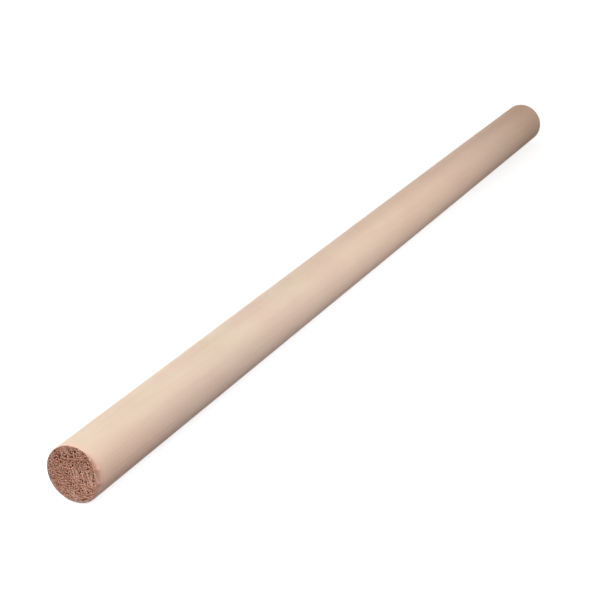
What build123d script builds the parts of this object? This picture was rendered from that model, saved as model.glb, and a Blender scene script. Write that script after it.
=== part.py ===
"""Plain wooden dowel rod: one straight round length of hardwood, sawn square across at both ends."""

import os

from build123d import *

# Driving dimensions, in millimetres
rod_diameter = 14.0
rod_length = 300.0
# Width of the small flat left where a sawn end's sharp rim is knocked off
rim_break = 0.2

# Dowel rod: round stock that lies along X, with the middle of its axis at the origin
with BuildPart() as dowel_rod:
    with BuildSketch(Plane.YZ.offset(-rod_length / 2)) as round_section:
        Circle(rod_diameter / 2)
    extrude(amount=rod_length)
    sawn_ends = dowel_rod.faces().filter_by(Axis.X)
    chamfer(sawn_ends.edges(), length=rim_break)
dowel_rod.part.label = "dowel_rod"

os.makedirs("parts", exist_ok=True)
export_step(dowel_rod.part, "parts/dowel_rod.step")
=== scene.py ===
import math

import bpy
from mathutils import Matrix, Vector


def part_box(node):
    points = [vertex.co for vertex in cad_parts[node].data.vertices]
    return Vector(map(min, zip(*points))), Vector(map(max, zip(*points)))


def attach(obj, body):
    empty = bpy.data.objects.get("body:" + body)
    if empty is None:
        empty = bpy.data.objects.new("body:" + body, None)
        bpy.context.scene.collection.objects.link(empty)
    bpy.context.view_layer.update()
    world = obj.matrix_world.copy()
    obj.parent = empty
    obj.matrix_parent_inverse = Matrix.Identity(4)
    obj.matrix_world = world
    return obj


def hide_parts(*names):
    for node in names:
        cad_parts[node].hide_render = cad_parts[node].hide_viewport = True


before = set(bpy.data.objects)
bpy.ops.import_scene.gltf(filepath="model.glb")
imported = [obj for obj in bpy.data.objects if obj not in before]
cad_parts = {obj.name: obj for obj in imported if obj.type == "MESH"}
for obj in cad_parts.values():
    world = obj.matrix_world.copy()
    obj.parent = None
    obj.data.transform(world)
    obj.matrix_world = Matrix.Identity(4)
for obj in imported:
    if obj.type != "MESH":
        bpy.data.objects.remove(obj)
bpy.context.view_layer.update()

# Dowel rod
# One straight length of pale, close-grained hardwood, rounded by a hollow cutter and sanded smooth.
# It is bare wood with its grain running along it, and a fine saw has cut it square at both ends.
rod_low, rod_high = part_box("dowel_rod")
rod_length = rod_high.x - rod_low.x
rod_radius = (rod_high.y - rod_low.y) / 2
rim_break = 0.0002
rim_steps = 3
plain_length = rod_length - 2 * rim_break
facets_round = 640
rings_along = 28
ring_length = plain_length / rings_along
rings_in_end_length = 8
edge_slack = 0.00002

bpy.ops.object.select_all(action="DESELECT")
bpy.ops.mesh.primitive_cylinder_add(
    vertices=facets_round,
    radius=rod_radius,
    depth=plain_length,
    end_fill_type="NOTHING",
    rotation=(0, math.pi / 2, 0),
)
rod = bpy.context.object
rod.name = "dowel_rod_wood"
rod.data.name = "dowel_rod_wood"
bpy.ops.object.transform_apply(location=False, rotation=True, scale=False)


def select_edges(piece, wanted):
    """Selects the edges whose two ends pass the test, and leaves the piece in edit mode."""
    bpy.ops.object.mode_set(mode="EDIT")
    bpy.ops.mesh.select_mode(type="EDGE")
    bpy.ops.mesh.select_all(action="DESELECT")
    bpy.ops.object.mode_set(mode="OBJECT")
    corners = piece.data.vertices
    for edge in piece.data.edges:
        first, second = (corners[index].co for index in edge.vertices)
        edge.select = wanted(first, second)
    bpy.ops.object.mode_set(mode="EDIT")


def runs_along(first, second):
    return abs(first.x - second.x) > edge_slack


def in_end_length(first, second, length):
    inner = min(abs(first.x), abs(second.x))
    return runs_along(first, second) and inner > plain_length / 2 - length - edge_slack


def on_rim(first, second, end_way):
    inner = min(end_way * first.x, end_way * second.x)
    return inner > plain_length / 2 - edge_slack


# Rings along the side, closer together near the ends where the saw tore the fibres
select_edges(rod, runs_along)
bpy.ops.mesh.subdivide(number_cuts=rings_along - 1)
for length in (ring_length, ring_length / rings_in_end_length):
    select_edges(rod, lambda first, second: in_end_length(first, second, length))
    bpy.ops.mesh.subdivide(number_cuts=rings_in_end_length - 1)

# A rounded rim at each end, then a fine grid across the sawn face
for end_way in (-1, 1):
    select_edges(rod, lambda first, second: on_rim(first, second, end_way))
    reach, radius = 0.0, rod_radius
    for step in range(1, rim_steps + 1):
        turn = math.pi / 2 * step / rim_steps
        new_reach = rim_break * math.sin(turn)
        new_radius = rod_radius - rim_break * (1 - math.cos(turn))
        bpy.ops.mesh.extrude_edges_move(
            TRANSFORM_OT_translate={"value": (end_way * (new_reach - reach), 0, 0)}
        )
        shrink = new_radius / radius
        bpy.ops.transform.resize(value=(1, shrink, shrink), center_override=(0, 0, 0))
        reach, radius = new_reach, new_radius
    bpy.ops.mesh.fill_grid(span=facets_round // 4)
bpy.ops.mesh.select_all(action="SELECT")
bpy.ops.mesh.normals_make_consistent(inside=False)
bpy.ops.object.mode_set(mode="OBJECT")

# A flat layout of the surface: a disc for each sawn end, with the side as one strip above them.
# The strip gives its ends more room than its middle, because the rims hold finer detail.
layout_middle_share = 0.5
disc_middle_share = 0.25
disc_radius_share = 0.23
strip_foot_share = 0.52
strip_height_share = 0.46
strip_length_share = 0.98
flat_layout = rod.data.uv_layers.new(name="OFBake")


def on_disc(corner):
    end_way = math.copysign(1, corner.x)
    level = layout_middle_share + end_way * (disc_middle_share + disc_radius_share * corner.y / rod_radius)
    return level, disc_middle_share + disc_radius_share * corner.z / rod_radius


def on_strip(corner, face_turn):
    turn = math.atan2(corner.z, corner.y)
    turn -= math.tau * round((turn - face_turn) / math.tau)
    level = layout_middle_share + strip_length_share * math.asin(2 * corner.x / rod_length) / math.pi
    return level, strip_foot_share + strip_height_share * (turn / math.tau + 0.5)


for face in rod.data.polygons:
    face_turn = math.atan2(face.center.z, face.center.y)
    at_end = abs(face.center.x) > rod_length / 2 - rim_break
    for loop in face.loop_indices:
        corner = rod.data.vertices[rod.data.loops[loop].vertex_index].co
        flat_layout.uv[loop].vector = on_disc(corner) if at_end else on_strip(corner, face_turn)


def add(tree, kind, feeds=None, **options):
    """Adds a node to a tree, sets its options, and feeds its inputs with links or plain values."""
    made = tree.nodes.new(kind)
    for option, choice in options.items():
        setattr(made, option, choice)
    for socket, feed in (feeds or {}).items():
        if isinstance(feed, bpy.types.NodeSocket):
            tree.links.new(feed, made.inputs[socket])
        else:
            made.inputs[socket].default_value = feed
    return made


def maths(tree, operation, *feeds):
    return add(tree, "ShaderNodeMath", dict(enumerate(feeds)), operation=operation).outputs[0]


def times(tree, first, second):
    return maths(tree, "MULTIPLY", first, second)


def vectors(tree, operation, *feeds):
    return add(tree, "ShaderNodeVectorMath", dict(enumerate(feeds)), operation=operation).outputs[0]


def measure(tree, operation, *feeds):
    """One number from vectors, such as a length or a dot product."""
    return add(tree, "ShaderNodeVectorMath", dict(enumerate(feeds)), operation=operation).outputs["Value"]


def split(tree, vector):
    return add(tree, "ShaderNodeSeparateXYZ", {0: vector}).outputs


def joined(tree, *feeds):
    return add(tree, "ShaderNodeCombineXYZ", dict(enumerate(feeds))).outputs[0]


def ramp(tree, value, start, end, low=0.0, high=1.0):
    """A smooth share that goes from low to high as the value goes from start to end."""
    feeds = {"Value": value, "From Min": start, "From Max": end, "To Min": low, "To Max": high}
    return add(tree, "ShaderNodeMapRange", feeds, interpolation_type="SMOOTHSTEP").outputs["Result"]


def noise(tree, place, scale=1.0, detail=1.0, output="Fac"):
    feeds = {"Vector": place, "Scale": scale, "Detail": detail}
    return add(tree, "ShaderNodeTexNoise", feeds).outputs[output]


def drawn_out(tree, place, scales, detail=1.0, output="Fac"):
    """Noise with a scale of its own along each axis."""
    return noise(tree, vectors(tree, "MULTIPLY", place, scales), detail=detail, output=output)


# The grain, the pith and the years, which both the relief and the colours follow
grain_lean = (0.016, 0.021)
grain_wander = 0.0009
grain_wander_scale = 18.0
pith_place = (-0.018, -0.055)
pith_distance = math.hypot(*pith_place)
grown_reach = 0.006
year_width = 0.0023
year_drift_share = 0.8
year_drift_scale = 90.0
late_start_share = 0.35
late_full_share = 0.9
late_fade_share = 0.93


def across_grain(tree, place):
    """Where each point lies across the grain, which leans and wanders a little along the rod."""
    wander = noise(tree, place, grain_wander_scale, output="Color")
    moved = split(tree, vectors(tree, "MULTIPLY_ADD", wander, (grain_wander,) * 3, place))
    level = maths(tree, "MULTIPLY_ADD", moved["X"], grain_lean[0], moved["Y"])
    upright = maths(tree, "MULTIPLY_ADD", moved["X"], grain_lean[1], moved["Z"])
    return level, upright


def from_pith(tree, level, upright):
    """The same place, measured from the middle of the tree that the rod was cut from."""
    return maths(tree, "SUBTRACT", level, pith_place[0]), maths(tree, "SUBTRACT", upright, pith_place[1])


def growth(tree, place):
    """How far out past the rod's axis each point grew, and the share of its year that it has reached."""
    length = measure(tree, "LENGTH", joined(tree, *from_pith(tree, *across_grain(tree, place))))
    drift = times(tree, noise(tree, place, year_drift_scale), year_drift_share)
    year = maths(tree, "FRACT", maths(tree, "MULTIPLY_ADD", length, 1 / year_width, drift))
    return maths(tree, "SUBTRACT", length, pith_distance), year


# Rays and vessels: the pale bands of cells that run out from the pith, and the open tubes along the grain
ray_width = 0.0003
ray_length = 0.005
ray_height = 0.0012
ray_span = (0.5, 0.64)
vessel_spacing = 0.00049
vessel_stretch = 0.95
vessel_ragged = 0.00022
vessel_ragged_scale = 4200.0
vessel_size_shares = (0.28, 0.54)
vessel_late_shares = (1.1, 0.8)
vessel_grown_shares = (0.86, 1.08)
vessel_floor_share = 0.72
vessel_in_ray_share = 0.55
sheath_reach_share = 2.0


def rays(tree, place):
    """How far inside a ray each point is."""
    level, upright = across_grain(tree, place)
    turn = maths(tree, "ARCTAN2", *from_pith(tree, level, upright))
    ray_place = joined(
        tree,
        times(tree, turn, pith_distance / ray_width),
        times(tree, upright, 1 / ray_length),
        times(tree, split(tree, place)["X"], 1 / ray_height),
    )
    return ramp(tree, noise(tree, ray_place), *ray_span)


def vessels(tree, place, grown, year, ray):
    """How far each point is inside a vessel, and in the pale sheath of wood round one."""
    level, upright = across_grain(tree, place)
    across = joined(tree, level, times(tree, upright, vessel_stretch))
    ragged = noise(tree, across, vessel_ragged_scale, output="Color")
    across = vectors(tree, "MULTIPLY_ADD", ragged, (vessel_ragged,) * 3, across)
    feeds = {"Vector": across, "Scale": 1 / vessel_spacing}
    cells = add(tree, "ShaderNodeTexVoronoi", feeds, voronoi_dimensions="2D").outputs
    size = ramp(tree, split(tree, cells["Color"])["X"], 0.0, 1.0, *vessel_size_shares)
    size = times(tree, size, ramp(tree, year, late_start_share, 1.0, *vessel_late_shares))
    size = times(tree, size, ramp(tree, grown, -grown_reach, grown_reach, *vessel_grown_shares))
    inside = ramp(tree, cells["Distance"], size, times(tree, size, vessel_floor_share))
    inside = times(tree, inside, ramp(tree, ray, 0.0, 1.0, 1.0, vessel_in_ray_share))
    around = ramp(tree, cells["Distance"], times(tree, size, sheath_reach_share), size)
    return inside, around


# Wear: the rim is barely broken, but the saw tore it wider at the front of the near end.
# The lower rim of that end is rubbed pale.
near_half_span = (0.01, -0.01)
torn_way = (0.0, -0.985, 0.17)
torn_span = (0.55, 1.0)
rim_wear_least = 0.00022
rim_wear_most = 0.0009
rim_wear_scale = 3.0
rim_wear_span = (0.3, 0.7)
rim_wear_shares = (0.85, 1.15)
rim_wear_depth_share = 0.5
rubbed_way = (0.0, 0.2, -0.98)
rubbed_span = (-0.35, 0.4)
rubbed_width = 0.0009
rubbed_core_share = 0.3
rubbed_most_share = 0.75


def about_axis(tree, place):
    """How far along a point lies, which way it faces, and how far it is in from the side and the end."""
    apart = split(tree, place)
    flat = joined(tree, 0.0, apart["Y"], apart["Z"])
    inset = maths(tree, "SUBTRACT", rod_radius, measure(tree, "LENGTH", flat))
    behind = maths(tree, "SUBTRACT", rod_length / 2, maths(tree, "ABSOLUTE", apart["X"]))
    return apart["X"], vectors(tree, "NORMALIZE", flat), inset, behind


def near_half_facing(tree, along, outward, way, span):
    """How fully each point of the near half faces a way, over a span of dot products."""
    facing = ramp(tree, measure(tree, "DOT_PRODUCT", outward, way), *span)
    return times(tree, facing, ramp(tree, along, *near_half_span))


def tearing(tree, along, outward):
    """How badly the saw tore the rim at each point round it."""
    return near_half_facing(tree, along, outward, torn_way, torn_span)


def rim_wear(tree, outward, torn):
    """How wide the rim is worn at each point round it."""
    width = maths(tree, "MULTIPLY_ADD", torn, rim_wear_most - rim_wear_least, rim_wear_least)
    uneven = ramp(tree, noise(tree, outward, rim_wear_scale), *rim_wear_span, *rim_wear_shares)
    return times(tree, width, uneven)


def rubbing(tree, along, outward, inset):
    """How much of the lower rim of the near end is rubbed pale."""
    round_rim = near_half_facing(tree, along, outward, rubbed_way, rubbed_span)
    core_width = rubbed_core_share * rubbed_width
    return times(tree, round_rim, ramp(tree, inset, rubbed_width, core_width, 0.0, rubbed_most_share))


def rounded(tree, wear, depth_share):
    """How deep the wear goes: half its width at the rim, and none once the share of its width reaches one."""
    left = maths(tree, "MAXIMUM", maths(tree, "SUBTRACT", 1.0, depth_share), 0.0)
    return times(tree, times(tree, left, left), times(tree, wear, rim_wear_depth_share))


# Relief: the saw opened the vessels as pores on the ends, and they show as faint grooves along the side
pore_depth = 0.00028
saw_mark_depth = 0.00003
saw_mark_scales = (300.0, 900.0, 2600.0)
groove_depth = 0.00001
worn_reach_share = 1.5
sawn_face_span = (0.9, 1.8)
plain_side_span = (0.2 * rim_break, 0.1 * rim_break)

relief = bpy.data.node_groups.new("grain relief", "GeometryNodeTree")
relief.interface.new_socket("Wood", in_out="INPUT", socket_type="NodeSocketGeometry")
relief.interface.new_socket("Wood", in_out="OUTPUT", socket_type="NodeSocketGeometry")
wood_in = add(relief, "NodeGroupInput").outputs[0]
place = add(relief, "GeometryNodeInputPosition").outputs[0]
along, outward, inset, behind = about_axis(relief, place)
wear = rim_wear(relief, outward, tearing(relief, along, outward))
inset_share = maths(relief, "DIVIDE", inset, wear)
behind_share = maths(relief, "DIVIDE", behind, wear)
near_rim = ramp(relief, inset_share, worn_reach_share, 0.0)
near_end = ramp(relief, behind_share, worn_reach_share, 0.0)
on_end = times(relief, near_end, ramp(relief, inset_share, *sawn_face_span))
on_side = ramp(relief, inset, *plain_side_span)

grown, year = growth(relief, place)
vessel = vessels(relief, place, grown, year, rays(relief, place))[0]
saw_mark = times(relief, drawn_out(relief, place, saw_mark_scales, detail=3.0), saw_mark_depth)
pit = times(relief, maths(relief, "MULTIPLY_ADD", vessel, pore_depth, saw_mark), on_end)
groove = times(relief, times(relief, vessel, groove_depth), on_side)
end_loss = maths(relief, "ADD", times(relief, rounded(relief, wear, inset_share), near_end), pit)
side_loss = maths(relief, "ADD", times(relief, rounded(relief, wear, behind_share), near_rim), groove)

inward = times(relief, maths(relief, "SIGN", along), -1.0)
end_shift = joined(relief, times(relief, end_loss, inward))
side_feeds = {0: outward, "Scale": times(relief, side_loss, -1.0)}
side_shift = add(relief, "ShaderNodeVectorMath", side_feeds, operation="SCALE").outputs[0]
shift = vectors(relief, "ADD", end_shift, side_shift)
moved = add(relief, "GeometryNodeSetPosition", {"Geometry": wood_in, "Offset": shift}).outputs[0]
add(relief, "NodeGroupOutput", {0: moved})

cut = rod.modifiers.new("grain relief", "NODES")
cut.node_group = relief
bpy.context.view_layer.objects.active = rod
bpy.ops.object.modifier_apply(modifier=cut.name)
bpy.ops.object.shade_smooth()


def seen(red, green, blue):
    """A colour as the eye sees it, from 0 to 255, for a shader's socket."""
    return [*(((level / 255 + 0.055) / 1.055) ** 2.4 for level in (red, green, blue)), 1.0]


def mixed(tree, share, first, second):
    return add(tree, "ShaderNodeMix", {0: share, 6: first, 7: second}, data_type="RGBA").outputs[2]


def layered(tree, base, layers):
    """Lays tones over a base in turn, each at its share."""
    for share, tone in layers:
        base = mixed(tree, share, base, tone)
    return base


# Bare wood: cream to peach along the side, and a much browner, speckled end grain
wood = bpy.data.materials.new("bare_hardwood")
wood.use_nodes = True
grain = wood.node_tree
grain.nodes.clear()
place = add(grain, "ShaderNodeTexCoord").outputs["Object"]
along, outward, inset, behind = about_axis(grain, place)
grown, year = growth(grain, place)
ray = rays(grain, place)
vessel, sheath = vessels(grain, place, grown, year, ray)
heart = ramp(grain, grown, grown_reach, -grown_reach)
late = ramp(grain, year, late_start_share, late_full_share)
late = times(grain, late, ramp(grain, year, 1.0, late_fade_share))

# Where the sanded side ends and the sawn end begins, with a half-worn, stringy strip between them
ragged_scale = 1900.0
ragged_share = 0.5
ragged_span = (1.05, 1.4)
stringy_scale = 28.0
stringy_span = (0.35, 0.65)
stringy_shares = (0.6, 1.0)
stringy_reach = (0.1, 0.9)
pores_span = (0.6, 1.3)
pores_rubbed_share = 0.3

torn = tearing(grain, along, outward)
rubbed = rubbing(grain, along, outward, inset)
worn_share = maths(grain, "DIVIDE", inset, rim_wear(grain, outward, torn))
pores_left = ramp(grain, rubbed, 0.0, rubbed_most_share, 1.0, pores_rubbed_share)
pores_left = times(grain, ramp(grain, worn_share, *pores_span), pores_left)
ragged = noise(grain, place, ragged_scale, detail=2.0)
ragged = maths(grain, "MULTIPLY_ADD", ragged, ragged_share, worn_share)
stringy = ramp(grain, noise(grain, outward, stringy_scale), *stringy_span, *stringy_shares)
stringy = times(grain, stringy, ramp(grain, worn_share, *stringy_reach))
on_end = maths(grain, "MAXIMUM", ramp(grain, ragged, *ragged_span), stringy)

# Tones of the side, each with the span over which it comes in and the share that it reaches
outer_cream = seen(232, 214, 191)
heart_pink = seen(229, 202, 185)
blush_pink = seen(229, 199, 183)
blush_scales = (45.0, 90.0, 90.0)
blush_span = (0.35, 0.65)
blush_share = 0.6
far_peach = seen(228, 194, 173)
far_span = (-0.1, 0.08)
far_share = 0.75
near_outer_cream = seen(221, 202, 180)
near_heart_peach = seen(233, 194, 173)
near_span = (-0.1, -0.148)
near_share = 0.75
tip_tan = seen(224, 188, 157)
tip_span = (0.1, 0.15)
tip_share = 0.7
late_tan = seen(214, 180, 155)
late_side_share = 0.08
mottle_tan = seen(216, 186, 163)
mottle_scales = (60.0, 140.0, 140.0)
mottle_span = (0.45, 0.75)
mottle_share = 0.22
fibre_tan = seen(206, 174, 148)
fibre_scales = (30.0, 3000.0, 3000.0)
fibre_span = (0.45, 0.8)
fibre_share = 0.055
# Painted shade in the faint grooves along the side, where the vessels cut them
groove_shade_brown = seen(170, 128, 100)
groove_shade_share = 0.04
rim_peach = seen(234, 196, 175)
rim_span = (0.0024, 0.0003)
rim_share = 0.55
bruise_pink = seen(216, 166, 148)
bruise_span = (0.002, 0.0003)
bruise_share = 0.45

blush = split(grain, drawn_out(grain, place, blush_scales, output="Color"))["Y"]
mottle = drawn_out(grain, place, mottle_scales, detail=2.0)
fibre = drawn_out(grain, place, fibre_scales, detail=3.0)
bruise = times(grain, torn, ramp(grain, behind, *bruise_span, 0.0, bruise_share))
near_tone = mixed(grain, heart, near_outer_cream, near_heart_peach)
side_layers = (
    (ramp(grain, blush, *blush_span, 0.0, blush_share), blush_pink),
    (ramp(grain, along, *far_span, 0.0, far_share), far_peach),
    (ramp(grain, along, *near_span, 0.0, near_share), near_tone),
    (ramp(grain, along, *tip_span, 0.0, tip_share), tip_tan),
    (times(grain, late, late_side_share), late_tan),
    (ramp(grain, mottle, *mottle_span, 0.0, mottle_share), mottle_tan),
    (ramp(grain, fibre, *fibre_span, 0.0, fibre_share), fibre_tan),
    # Painted shade in the side's grooves
    (times(grain, vessel, groove_shade_share), groove_shade_brown),
    (ramp(grain, behind, *rim_span, 0.0, rim_share), rim_peach),
    (bruise, bruise_pink),
)
side = layered(grain, mixed(grain, heart, outer_cream, heart_pink), side_layers)

# Tones of the sawn ends, which are browner one way across the face and paler the other way
end_brown = seen(178, 96, 60)
end_pale = seen(234, 163, 136)
pale_way = (0.0, -0.777, -0.63)
pale_reach = 0.006
patch_brown = seen(164, 105, 75)
patch_scale = 300.0
patch_span = (0.35, 0.65)
patch_share = 0.6
fleck_brown = seen(129, 64, 36)
fleck_scale = 4500.0
fleck_span = (0.38, 0.66)
fleck_pale_shares = (0.95, 0.7)
fleck_rubbed_share = 0.35
late_brown = seen(142, 92, 70)
late_end_share = 0.2
ray_cream = seen(250, 218, 206)
ray_pale_shares = (0.44, 0.6)
sheath_peach = seen(246, 194, 169)
sheath_shares = (0.25, 0.65)
rubbed_tan = seen(206, 175, 158)
# Painted shade deep in the open pores of the sawn ends, darker than the real pits' own shading
pore_shade_dark = seen(78, 12, 0)

pale = ramp(grain, measure(grain, "DOT_PRODUCT", place, pale_way), -pale_reach, pale_reach)
patch = ramp(grain, noise(grain, place, patch_scale), *patch_span, 0.0, patch_share)
fleck = ramp(grain, noise(grain, place, fleck_scale, detail=2.0), *fleck_span)
fleck = times(grain, fleck, ramp(grain, pale, 0.0, 1.0, *fleck_pale_shares))
fleck = times(grain, fleck, ramp(grain, rubbed, 0.0, rubbed_most_share, 1.0, fleck_rubbed_share))
end_layers = (
    (patch, patch_brown),
    (fleck, fleck_brown),
    (times(grain, late, late_end_share), late_brown),
    (times(grain, ray, ramp(grain, pale, 0.0, 1.0, *ray_pale_shares)), ray_cream),
    (times(grain, sheath, ramp(grain, pores_left, 0.0, 1.0, *sheath_shares)), sheath_peach),
    (rubbed, rubbed_tan),
    # Painted shade in the pores
    (times(grain, vessel, pores_left), pore_shade_dark),
)
end = layered(grain, mixed(grain, pale, end_brown, end_pale), end_layers)

# The finish: dull bare wood, with fibres and pores too fine for the mesh
wood_roughness = 0.7
wood_gloss = 0.1
fine_strength = 0.2
fine_depth = 0.00003
fibre_height_share = 0.6

fine = maths(grain, "MULTIPLY_ADD", fibre, fibre_height_share, times(grain, vessel, -1.0))
bump_feeds = {"Strength": fine_strength, "Distance": fine_depth, "Height": fine}
surface_feeds = {
    "Base Color": mixed(grain, on_end, side, end),
    "Roughness": wood_roughness,
    "Specular IOR Level": wood_gloss,
    "Normal": add(grain, "ShaderNodeBump", bump_feeds).outputs[0],
}
surface = add(grain, "ShaderNodeBsdfPrincipled", surface_feeds).outputs[0]
add(grain, "ShaderNodeOutputMaterial", {"Surface": surface})
rod.data.materials.append(wood)

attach(rod, "root")
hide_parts("dowel_rod")

# Floor
# A wide sheet of white paper that the rod lies on.
# It looks white to the camera and keeps the rod's soft shadow.
floor_size = 8
plain_white = (1, 1, 1, 1)
paper_grey = (0.5, 0.5, 0.5, 1)
bounce_grey = (0.13, 0.13, 0.13, 1)
glow_span = (0.1, 0.3)
glow_shares = (0.72, 1.0)

bpy.ops.object.select_all(action="DESELECT")
bpy.ops.mesh.primitive_plane_add(size=floor_size, location=(0, 0, -rod_radius))
floor = bpy.context.object
floor.name = "floor"


def looked_at(tree):
    """Whether a ray comes from the camera, straight or by way of a gloss or a clear body."""
    path = add(tree, "ShaderNodeLightPath").outputs
    straight_or_mirrored = maths(tree, "MAXIMUM", path["Is Camera Ray"], path["Is Glossy Ray"])
    return maths(tree, "MAXIMUM", straight_or_mirrored, path["Is Transmission Ray"])


paper = bpy.data.materials.new("white_paper")
paper.use_nodes = True
sheet = paper.node_tree
sheet.nodes.clear()
middle = add(sheet, "ShaderNodeTexCoord").outputs["Object"]
glow = ramp(sheet, measure(sheet, "LENGTH", middle), *glow_span, *glow_shares)
lit = add(sheet, "ShaderNodeBsdfDiffuse", {"Color": paper_grey}).outputs[0]
glowing = add(sheet, "ShaderNodeEmission", {"Color": plain_white, "Strength": glow}).outputs[0]
shown = add(sheet, "ShaderNodeAddShader", {0: lit, 1: glowing}).outputs[0]
bounced = add(sheet, "ShaderNodeBsdfDiffuse", {"Color": bounce_grey}).outputs[0]
paper_look = add(sheet, "ShaderNodeMixShader", {0: looked_at(sheet), 1: bounced, 2: shown}).outputs[0]
add(sheet, "ShaderNodeOutputMaterial", {"Surface": paper_look})
floor.data.materials.append(paper)

# Light
# Soft lamps hang past the near end and above the rod, before it and behind it.
# A low strip lights its back and a small card its far end, in a plain white room.
room_light = 0.26

world = bpy.data.worlds.new("studio")
bpy.context.scene.world = world
world.use_nodes = True
room = world.node_tree
room.nodes.clear()
room_strength = ramp(room, looked_at(room), 0.0, 1.0, room_light, 1.0)
room_feeds = {"Color": plain_white, "Strength": room_strength}
backdrop = add(room, "ShaderNodeBackground", room_feeds).outputs[0]
add(room, "ShaderNodeOutputWorld", {"Surface": backdrop})


def soft_lamp(name, place, aim, size, power, spread=180):
    """Hangs a flat lamp at a place and turns it to its aim. The spread of its light is in degrees."""
    bpy.ops.object.light_add(type="AREA", location=place)
    lamp = bpy.context.object
    lamp.name = name
    lamp.data.shape = "RECTANGLE"
    lamp.data.size, lamp.data.size_y = size
    lamp.data.energy = power
    lamp.data.spread = math.radians(spread)
    lamp.visible_camera = False
    lamp.rotation_euler = (Vector(aim) - Vector(place)).to_track_quat("-Z", "Y").to_euler()


soft_lamp("overhead_lamp", (-0.45, 0.1, 0.24), (-0.45, 0, 0), (0.25, 0.25), 1.14)
soft_lamp("near_front_lamp", (-0.25, -0.17, 0.26), (-0.25, 0, 0), (0.2, 0.2), 0.126, 60)
soft_lamp("front_lamp", (0.004, -0.2, 0.17), (0.004, 0, 0), (0.2, 0.2), 0.142, 85)
soft_lamp("top_lamp", (-0.02, 0.2, 0.3), (-0.02, 0, 0), (0.2, 0.2), 0.028, 85)
soft_lamp("back_lamp", (-0.09, 0.35, 0.012), (-0.09, 0, 0), (0.42, 0.03), 0.82)
soft_lamp("far_end_card", (0.45, 0, 0.01), (0.15, 0, 0), (0.07, 0.07), 0.45)

# Camera
# It stands past the near end, a little to the front, and looks down along the rod.
# Its place, turn and lens were fitted to the rod's outlines in the photograph.
camera_place = (-0.40326, -0.17935, 0.16953)
camera_yaw = math.radians(26.152)
camera_pitch = math.radians(22.728)
camera_lens = 96
camera_sensor_width = 36
camera_clip_start = 0.01

bpy.ops.object.camera_add(
    location=camera_place,
    rotation=(math.pi / 2 - camera_pitch, 0, camera_yaw - math.pi / 2),
)
camera = bpy.context.object
camera.data.lens = camera_lens
camera.data.sensor_width = camera_sensor_width
camera.data.clip_start = camera_clip_start
bpy.context.scene.camera = camera
bpy.context.scene.view_settings.view_transform = "Standard"
